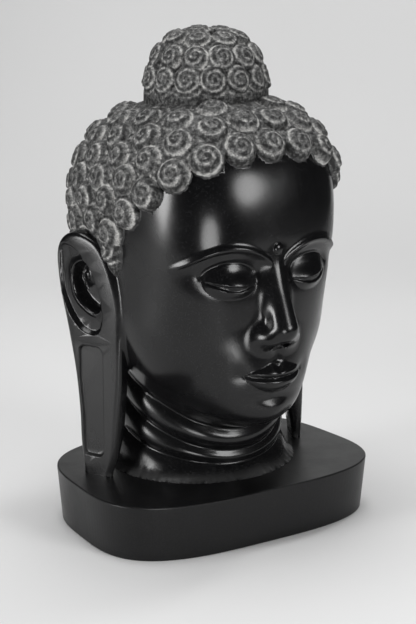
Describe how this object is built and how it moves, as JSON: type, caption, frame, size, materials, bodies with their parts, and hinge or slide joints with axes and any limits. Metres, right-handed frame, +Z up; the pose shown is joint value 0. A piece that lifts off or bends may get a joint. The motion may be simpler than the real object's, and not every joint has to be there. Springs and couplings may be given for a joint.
{
  "type": "carved buddha head",
  "caption": "Stone buddha head with snail-curl hair, topknot, long pierced-style ear lobes and folded neck, carved in one with a low rounded block base.",
  "frame": {"origin": "middle of the underside of the base", "axes": "+Z up, the face looks along -Y, +X to the left of the figure"},
  "size_m": [0.2902, 0.2768, 0.46],
  "materials": {
    "stone": "polished black stone on the face, neck, ears and block, matte dusty grey on the hair"
  },
  "bodies": {
    "root": {"buddha_head": "stone"}
  },
  "joints": []
}
